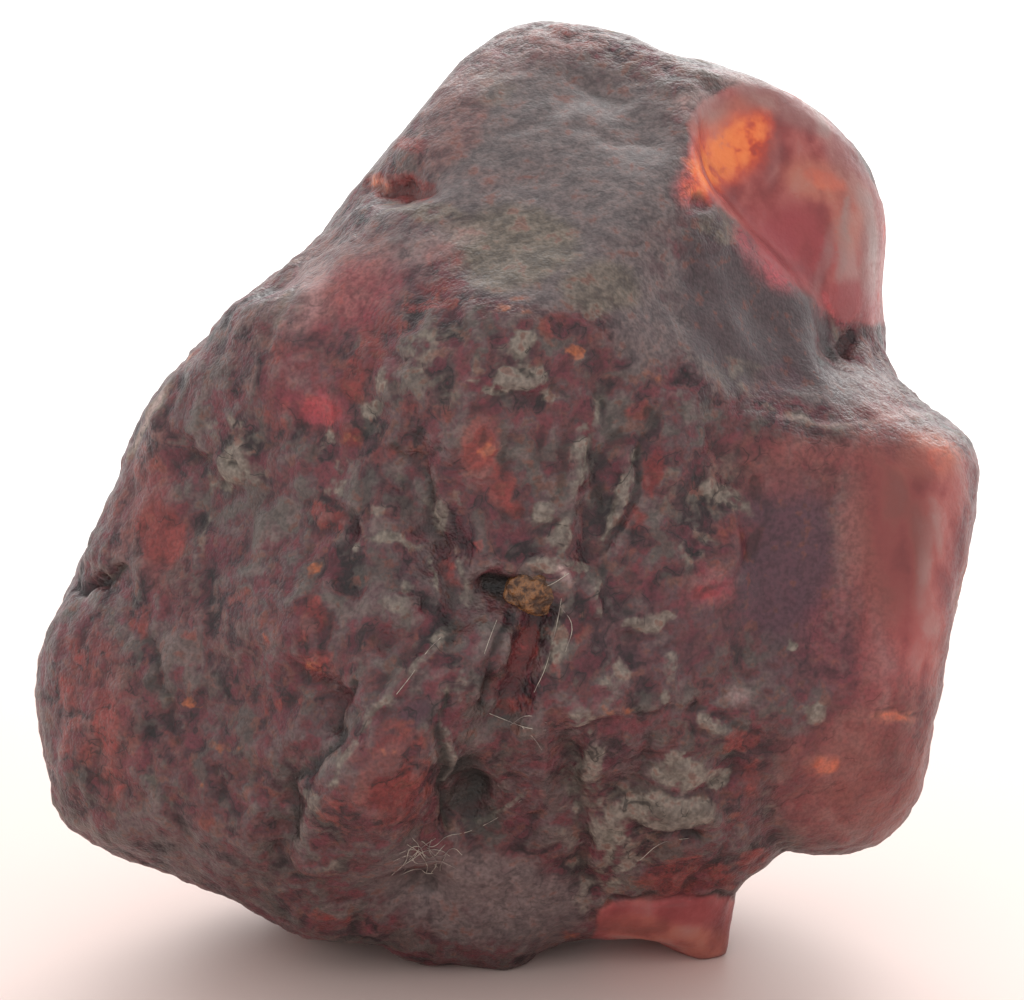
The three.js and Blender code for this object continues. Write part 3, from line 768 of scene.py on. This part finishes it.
def relief(at):
    """How far each point of the surface moves out, in metres."""
    rough = MOTTLE_MM * at.mottle + SPOTS_MM * at.spots
    rough += ROUGHNESS_MM * noise_at(at.points, *ROUGHNESS)
    rough += SWIRL_MM * (at.swirl - PATTERN_MIDDLE) + FOLD_MM * (at.fold - PATTERN_MIDDLE)
    creases = np.zeros(len(at.points))
    for wavelength_mm, seed, sharpness, share in CREASES:
        creases += share * (1 - np.abs(noise_at(at.points, wavelength_mm, seed))) ** sharpness
    x, y = at.plain
    middle_x, middle_y, half_width, half_height = STREAKED
    away = ((x - middle_x) / half_width) ** 2 + ((y - middle_y) / half_height) ** 2
    streaks = np.exp(-away) * at.front
    height = (rough - CREASE_MM * creases) * (1 - CALM_RELIEF_CUT * at.calm)
    height += STREAK_MM * streaks * noise_at(at.points, *STREAKS)
    height = (height + placed_relief(at.wander) * at.front) * MM
    return height * smoothstep(at.points[:, 2], 0, FOOT_KEEP_MM * MM)


def surface_masks(at):
    """How strongly each kind of surface shows at each point, by name."""
    masks = {name: patch_mask(at.wander, patches) * at.front for name, patches in PLACED.items()}

    def add(name, values):
        masks[name] = np.maximum(masks[name], values)

    add("red", facet_mask(at.soft, RED_FACETS) * at.front)
    # Painted glow of the backlight through the amber
    add("glow", facet_mask(at.soft, GLOW_FACETS) * at.front)
    # Pale crust and painted highlight along rims and ridges
    add("pale", line_mask(at.soft, PALE_AND_HIGHLIGHT_LINES) * at.front)
    # Painted shade along the cracks
    cracks = [(line, width, min(1, depth)) for line, width, depth in CRACKS]
    add("dark", CRACK_DARKNESS * line_mask(at.wander, cracks) * at.front)
    for name in ("red", "orange", "pale", "pink"):
        add(name, at.scattered(name))
    masks["grey"] += at.scattered("grey")
    for name, _, patches in STAINS_AND_PAINTED_LIGHT:
        masks[name] = patch_mask(at.soft, patches) * at.front
    masks["rim"] = line_mask(at.soft, RIM_LINES) * at.front ** 2
    masks["slate_and_shade"] = facet_mask(at.soft, SLATE_AND_SHADE_FACETS) * at.front
    masks["window"] = at.through
    masks["calm"] = at.calm
    masks["veil"] = pattern_at(at.points, *VEIL)
    for name, pattern in (("swirl", at.swirl), ("fold", at.fold)):
        even = (pattern - PATTERN_MIDDLE) * (1 - CALM_PATTERN_CUT * at.calm)
        masks[name] = PATTERN_MIDDLE + even
    return masks


def neighbour_mean(values, edges):
    """Mean of each point's neighbours."""
    total = np.zeros_like(values)
    count = np.zeros(len(values))
    for here, there in ((edges[:, 0], edges[:, 1]), (edges[:, 1], edges[:, 0])):
        np.add.at(total, here, values[there])
        np.add.at(count, here, 1)
    return total / (count if values.ndim == 1 else count[:, None])


def raised_share(mesh, points, normals):
    """Where points stand proud or lie in hollows: 1 and 0, and 0.5 where it is even."""
    edges = np.empty(len(mesh.edges) * 2, int)
    mesh.edges.foreach_get("vertices", edges)
    edges = edges.reshape(-1, 2)
    raised = np.sum((points - neighbour_mean(points, edges)) * normals, axis=1)
    for _ in range(RAISED_ROUNDS):
        raised = 0.5 * raised + 0.5 * neighbour_mean(raised, edges)
    return 0.5 + 0.5 * (raised / RAISED_FULL)


def shape_lump(piece):
    """Moves the fine mesh's points out and in, and stores where each kind of surface is."""
    mesh = piece.data
    at = Surface(mesh)
    masks = surface_masks(at)
    points = at.points + at.normals * relief(at)[:, None]
    low, high = (np.array(corner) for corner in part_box(NODE))
    points = low + (points - points.min(axis=0)) * ((high - low) / np.ptp(points, axis=0))
    masks["raised"] = raised_share(mesh, points, at.normals)
    mesh.vertices.foreach_set("co", points.ravel())
    mesh.update()
    for name, values in masks.items():
        layer = mesh.attributes.new(name, "FLOAT", "POINT")
        layer.data.foreach_set("value", np.clip(values, 0, 1).astype(np.float32))
    for polygon in mesh.polygons:
        polygon.use_smooth = True


class Nodes:
    """Short ways to make and join nodes."""

    def __init__(self, tree):
        self.tree = tree
        tree.nodes.clear()
        self.place = self.make("ShaderNodeTexCoord").outputs["Object"]

    def make(self, kind, **settings):
        node = self.tree.nodes.new(kind)
        for name, value in settings.items():
            setattr(node, name, value)
        return node

    def put(self, socket, value):
        if isinstance(value, bpy.types.NodeSocket):
            self.tree.links.new(value, socket)
        elif isinstance(value, tuple) and len(value) == 3 and socket.type == "RGBA":
            socket.default_value = (*value, 1)
        else:
            socket.default_value = value

    def stored(self, name):
        return self.make("ShaderNodeAttribute", attribute_name=name).outputs["Fac"]

    def noise(self, wavelength_mm, detail, seed, rough=0.5, warp=0.0):
        place = self.make("ShaderNodeMapping")
        self.put(place.inputs["Vector"], self.place)
        self.put(place.inputs["Location"], tuple(seed * step for step in SHADER_SEED_SHIFT))
        pattern = self.make("ShaderNodeTexNoise")
        self.put(pattern.inputs["Vector"], place.outputs["Vector"])
        self.put(pattern.inputs["Scale"], 1 / (wavelength_mm * MM))
        self.put(pattern.inputs["Detail"], detail)
        self.put(pattern.inputs["Distortion"], warp)
        self.put(pattern.inputs["Roughness"], rough)
        return pattern.outputs["Fac"]

    def bands(self, value, stops):
        """Colours along a value, each stop a place from 0 to 1 and a colour."""
        node = self.make("ShaderNodeValToRGB")
        self.put(node.inputs["Fac"], value)
        elements = node.color_ramp.elements
        while len(elements) < len(stops):
            elements.new(0.5)
        for element, (place, colour) in zip(elements, stops):
            element.position = place
            element.color = (*colour, 1)
        return node.outputs["Color"]

    def brighten(self, colour, amount):
        node = self.make("ShaderNodeVectorMath", operation="SCALE")
        self.put(node.inputs[0], colour)
        self.put(node.inputs["Scale"], amount)
        return node.outputs["Vector"]

    def math(self, operation, *values, clamp=False):
        node = self.make("ShaderNodeMath", operation=operation, use_clamp=clamp)
        for socket, value in zip(node.inputs, values):
            self.put(socket, value)
        return node.outputs[0]

    def times(self, first, second):
        return self.math("MULTIPLY", first, second)

    def plus(self, first, second):
        return self.math("ADD", first, second)

    def highest(self, *values):
        top, *rest = values
        for value in rest:
            top = self.math("MAXIMUM", top, value)
        return top

    def ramp(self, value, low, high, start=0, end=1):
        node = self.make("ShaderNodeMapRange", interpolation_type="SMOOTHSTEP")
        self.put(node.inputs["Value"], value)
        self.put(node.inputs["From Min"], low)
        self.put(node.inputs["From Max"], high)
        self.put(node.inputs["To Min"], start)
        self.put(node.inputs["To Max"], end)
        return node.outputs["Result"]

    def along(self, value, name):
        """The ramp of a name, along a value."""
        return self.ramp(value, *RAMPS[name])

    def mix(self, first, second, share):
        """A mix of two colours; numbers 6, 7 and 2 are that node's colour sockets."""
        node = self.make("ShaderNodeMix", data_type="RGBA")
        self.put(node.inputs["Factor"], share)
        self.put(node.inputs[6], first)
        self.put(node.inputs[7], second)
        return node.outputs[2]

    def bump(self, height, strength, distance_mm):
        node = self.make("ShaderNodeBump")
        self.put(node.inputs["Height"], height)
        self.put(node.inputs["Strength"], strength)
        self.put(node.inputs["Distance"], distance_mm * MM)
        return node.outputs["Normal"]


def new_material(name, kind=Nodes):
    """A material with one main shader: the material, its nodes, the shader and the output."""
    material = bpy.data.materials.new(name)
    material.use_nodes = True
    nodes = kind(material.node_tree)
    shader = nodes.make("ShaderNodeBsdfPrincipled")
    output = nodes.make("ShaderNodeOutputMaterial")
    nodes.put(output.inputs["Surface"], shader.outputs["BSDF"])
    return material, nodes, shader, output


class AmberNodes(Nodes):
    """The amber's nodes, with the noises and stored values that its colours share."""

    def __init__(self, tree):
        super().__init__(tree)
        self.grain = self.noise(GRAIN_MM, detail=1, seed=1, rough=0.65)
        self.speck = self.noise(SPECK_MM, detail=2, seed=2, rough=0.6)
        self.ragged = self.math("MULTIPLY_ADD", self.speck, RAGGED_SHARE, -RAGGED_SHARE / 2)
        self.swirl = self.plus(self.stored("swirl"), self.ragged)
        self.fold = self.plus(self.stored("fold"), self.ragged)
        self.veil = self.plus(self.stored("veil"), self.times(self.ragged, VEIL_RAGGED_SHARE))
        self.steady = self.along(self.stored("calm"), "steady")
        self.window = self.stored("window")
        self.crust = self.along(self.window, "crust")

    def worn(self, name):
        """A stored kind of surface, with its rim broken up by noise."""
        wear, low, high, stray = WEAR[name]
        kind = self.stored(name)
        broken = self.math("MULTIPLY_ADD", self.plus(self.speck, self.fold), wear, -wear)
        broken = self.times(broken, self.ramp(kind, 0, KIND_REACH, stray))
        return self.ramp(self.plus(kind, self.times(broken, self.steady)), low, high)

    def shades(self, dark, light):
        return self.mix(dark, light, self.along(self.speck, "shades"))

    def darkness(self):
        """How dark the painted shade of the dark patches, the cracks and the hollows, and the seams of the
        folds are.
        """
        off_middle = self.math("SUBTRACT", self.stored("fold"), PATTERN_MIDDLE)
        seams = self.along(self.math("ABSOLUTE", off_middle), "seam")
        seams = self.times(seams, self.along(self.swirl, "seamed"))
        seams = self.times(self.times(seams, self.steady), self.crust)
        # Painted shade in the hollows
        hollow_shade = self.along(self.stored("raised"), "hollow_shade")
        return self.highest(self.worn("dark"), hollow_shade, seams)

    def crust_layers(self, pale):
        """The kinds of crust, each a colour and its share, from the lowest to the topmost."""
        red = self.mix(DEEP_RED, BRIGHT_RED, self.along(self.fold, "bright red"))
        return [
            (GREEN_GREY, self.along(self.fold, "green grey")),
            (MAGENTA, self.along(self.fold, "magenta")),
            (self.shades(*GREYS), self.worn("grey")),
            (SLATE_AND_SHADE, self.times(self.stored("slate_and_shade"), SLATE_AND_SHADE_STRENGTH)),
            (self.shades(*OLIVES), self.worn("olive")),
            (self.shades(*PINKS), self.worn("pink")),
            (VIOLET, self.worn("violet")),
            (red, self.worn("red")),
            (ORANGE, self.worn("orange")),
            (self.shades(*CHALKY), self.times(pale, PALE_STRENGTH)),
            (RUST, self.times(self.along(self.speck, "rust"), self.crust)),
        ]

    def window_layers(self, glow):
        """The see-through panes, the soft stains with painted glow, sheen and shade among them, the painted
        glow and the painted bright rims.
        """
        layers = [(self.bands(self.veil, PANE), self.along(self.window, "pane"))]
        overlaid = self.along(self.veil, "overlaid")
        for name, overlay, _ in STAINS_AND_PAINTED_LIGHT:
            layers.append((overlay, self.times(self.stored(name), overlaid)))
        # The painted glow runs from red to bright orange where it is strongest
        painted_glow_level = self.plus(self.plus(self.veil, self.speck), glow)
        layers.append((self.mix(GLOW_RED, GLOW, self.along(painted_glow_level, "painted_glow_level")), glow))
        layers.append((RIM_LIGHT, self.stored("rim")))
        return layers


def amber_material():
    material, nodes, shader, output = new_material("raw_amber", AmberNodes)
    pale = nodes.worn("pale")
    dark = nodes.darkness()
    # The painted glow, broken up by noise
    glow = nodes.times(nodes.worn("glow"), nodes.along(nodes.speck, "painted_glow_breakup"))

    layers = nodes.crust_layers(pale) + nodes.window_layers(glow)
    # Dust and painted highlight on the raised points
    layers.append((DUST_AND_HIGHLIGHT, nodes.along(nodes.stored("raised"), "dust_and_highlight")))
    # Black over the painted shade of pits, cracks and hollows, and over the fold seams
    layers.append((BLACK, nodes.times(dark, DARK_STRENGTH)))
    colour = nodes.bands(nodes.swirl, CRUST_AND_HOLLOW_SHADE)
    for over, share in layers:
        colour = nodes.mix(colour, over, share)
    tone = nodes.mix(WHITE, nodes.along(nodes.grain, "tone"), nodes.crust)

    opaque = nodes.highest(pale, dark, nodes.times(glow, GLOW_COVER))
    clear = nodes.along(nodes.window, "clear")
    clear = nodes.times(clear, nodes.math("SUBTRACT", 1, opaque, clamp=True))
    matt = nodes.plus(nodes.grain, nodes.times(pale, PALE_MATT))
    bumpy = nodes.along(nodes.stored("calm"), "bump")

    nodes.put(shader.inputs["Base Color"], nodes.brighten(colour, tone))
    nodes.put(shader.inputs["Roughness"], nodes.along(matt, "roughness"))
    nodes.put(shader.inputs["Transmission Weight"], clear)
    nodes.put(shader.inputs["Normal"], nodes.bump(nodes.grain, bumpy, BUMP_MM))
    shader.inputs["IOR"].default_value = AMBER_IOR
    shader.inputs["Specular IOR Level"].default_value = AMBER_SPECULAR

    absorption = nodes.make("ShaderNodeVolumeAbsorption")
    absorption.inputs["Color"].default_value = (*DEEP_COLOUR, 1)
    absorption.inputs["Density"].default_value = DEEP_DENSITY
    nodes.put(output.inputs["Volume"], absorption.outputs["Volume"])
    return material


def crumb_material():
    material, nodes, shader, _ = new_material("gold_crumb")
    flake = nodes.noise(CRUMB_FLAKE_MM, detail=3, seed=21, rough=0.65, warp=0.3)
    gold = nodes.mix(CRUMB_BROWN, CRUMB_GOLD, nodes.along(flake, "crumb gold"))
    nodes.put(shader.inputs["Base Color"], gold)
    nodes.put(shader.inputs["Roughness"], nodes.along(flake, "crumb roughness"))
    nodes.put(shader.inputs["Normal"], nodes.bump(flake, CRUMB_BUMP, CRUMB_BUMP_MM))
    return material


def lint_material():
    material, nodes, shader, _ = new_material("lint")
    shade = nodes.noise(LINT_SHADE_MM, detail=2, seed=22)
    nodes.put(shader.inputs["Base Color"], nodes.mix(DUST_AND_HIGHLIGHT, LINT, nodes.along(shade, "lint")))
    shader.inputs["Roughness"].default_value = LINT_ROUGHNESS
    return material


def floor_material():
    material, nodes, shader, _ = new_material("pale_table")
    # Painted shade: pinker and darker near the lump, near-white further off
    away = nodes.make("ShaderNodeVectorMath", operation="LENGTH")
    nodes.put(away.inputs[0], nodes.place)
    shade = nodes.mix(FLOOR_NEAR, FLOOR_FAR, nodes.along(away.outputs["Value"], "table"))
    nodes.put(shader.inputs["Base Color"], shade)
    shader.inputs["Roughness"].default_value = FLOOR_ROUGHNESS
    return material


def surface_finder(piece):
    """A function that gives the place and normal of the lump's front at a pixel."""
    points = read_vectors(piece.data.vertices, "co")
    normals = read_vectors(piece.data.vertex_normals, "vector")
    seen = facing_view(points, normals) > LEAST_FACING
    points, normals = points[seen], normals[seen]
    x, y = to_pixels(points)

    def at(pixel_x, pixel_y):
        nearest = np.argmin((x - pixel_x) ** 2 + (y - pixel_y) ** 2)
        return Vector(points[nearest]), Vector(normals[nearest])

    return at


def add_crumb(at):
    """An angular flake of gold-brown resin in the mouth of the open hole."""
    mesh = bpy.data.meshes.new("crumb")
    shape = bmesh.new()
    bmesh.ops.create_icosphere(shape, subdivisions=4, radius=1)
    place, normal = at(*CRUMB_AT)
    for vertex in shape.verts:
        facets = CRUMB_FACET_SHARE * noise.voronoi(vertex.co * CRUMB_FACETS)[0][0]
        waves = CRUMB_WAVE_SHARE * noise.noise(vertex.co * CRUMB_WAVES)
        bent = vertex.co * (CRUMB_ROUND_SHARE + facets + waves)
        vertex.co = Vector(part * size * MM for part, size in zip(bent, CRUMB_SIZE_MM))
    shape.to_mesh(mesh)
    shape.free()
    crumb = bpy.data.objects.new("crumb", mesh)
    crumb.location = place + normal * CRUMB_LIFT_MM * MM
    bpy.context.scene.collection.objects.link(crumb)
    mesh.materials.append(crumb_material())
    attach(crumb, "root")


def add_lint(at):
    """Thin pale fibres that lie on the crust."""
    curve = bpy.data.curves.new("lint", "CURVE")
    curve.dimensions = "3D"
    curve.bevel_depth = LINT_RADIUS_MM * MM
    curve.bevel_resolution = 1
    curve.resolution_u = 6
    for strand in LINT_STRANDS:
        spline = curve.splines.new("BEZIER")
        spline.bezier_points.add(len(strand) - 1)
        for knot, pixel in zip(spline.bezier_points, strand):
            place, normal = at(*pixel)
            knot.co = place + normal * LINT_LIFT_MM * MM
            knot.handle_left_type = "AUTO"
            knot.handle_right_type = "AUTO"
    lint = bpy.data.objects.new("lint", curve)
    bpy.context.scene.collection.objects.link(lint)
    curve.materials.append(lint_material())
    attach(lint, "root")


def add_floor():
    mesh = bpy.data.meshes.new("table")
    signs = ((-1, -1), (1, -1), (1, 1), (-1, 1))
    corners = [(TABLE_REACH * across, TABLE_REACH * along, 0) for across, along in signs]
    mesh.from_pydata(corners, [], [(0, 1, 2, 3)])
    table = bpy.data.objects.new("table", mesh)
    bpy.context.scene.collection.objects.link(table)
    mesh.materials.append(floor_material())


def add_light(name, place, side, brightness, colour):
    """A square soft light that looks at the lump."""
    data = bpy.data.lights.new(name, "AREA")
    data.shape = "SQUARE"
    data.size = side
    data.energy = brightness * math.pi * side * side
    data.color = colour
    lamp = bpy.data.objects.new(name, data)
    lamp.location = place
    lamp.rotation_euler = (VIEW_TARGET - Vector(place)).to_track_quat("-Z", "Y").to_euler()
    bpy.context.scene.collection.objects.link(lamp)


def add_world():
    world = bpy.data.worlds.new("studio")
    world.use_nodes = True
    bpy.context.scene.world = world
    nodes = Nodes(world.node_tree)
    parts = nodes.make("ShaderNodeSeparateXYZ")
    nodes.put(parts.inputs[0], nodes.place.node.outputs["Generated"])
    background = nodes.make("ShaderNodeBackground")
    background.inputs["Color"].default_value = (*WORLD_TINT, 1)
    behind = nodes.ramp(parts.outputs["Y"], *WORLD_FADE, WORLD_FRONT, WORLD_BACK)
    nodes.put(background.inputs["Strength"], behind)
    output = nodes.make("ShaderNodeOutputWorld")
    nodes.put(output.inputs["Surface"], background.outputs["Background"])


def add_camera():
    data = bpy.data.cameras.new("photo_view")
    data.sensor_width = SENSOR_WIDTH_MM
    data.lens = PIXELS_PER_RADIAN * SENSOR_WIDTH_MM / IMAGE_WIDTH
    data.clip_start = NEAREST_SEEN
    camera = bpy.data.objects.new("photo_view", data)
    camera.location = view_place
    camera.rotation_euler = (math.radians(90 - VIEW_ELEVATION_DEG), 0, 0)
    bpy.context.scene.collection.objects.link(camera)
    bpy.context.scene.camera = camera


lump = fine_copy(NODE)
shape_lump(lump)
lump.data.materials.append(amber_material())
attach(lump, "root")
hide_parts(NODE)
surface_at = surface_finder(lump)
add_crumb(surface_at)
add_lint(surface_at)
add_floor()
add_world()
for light in LIGHTS:
    add_light(*light)
add_camera()
bpy.context.scene.view_settings.view_transform = "Standard"
bpy.context.scene.view_settings.look = "None"
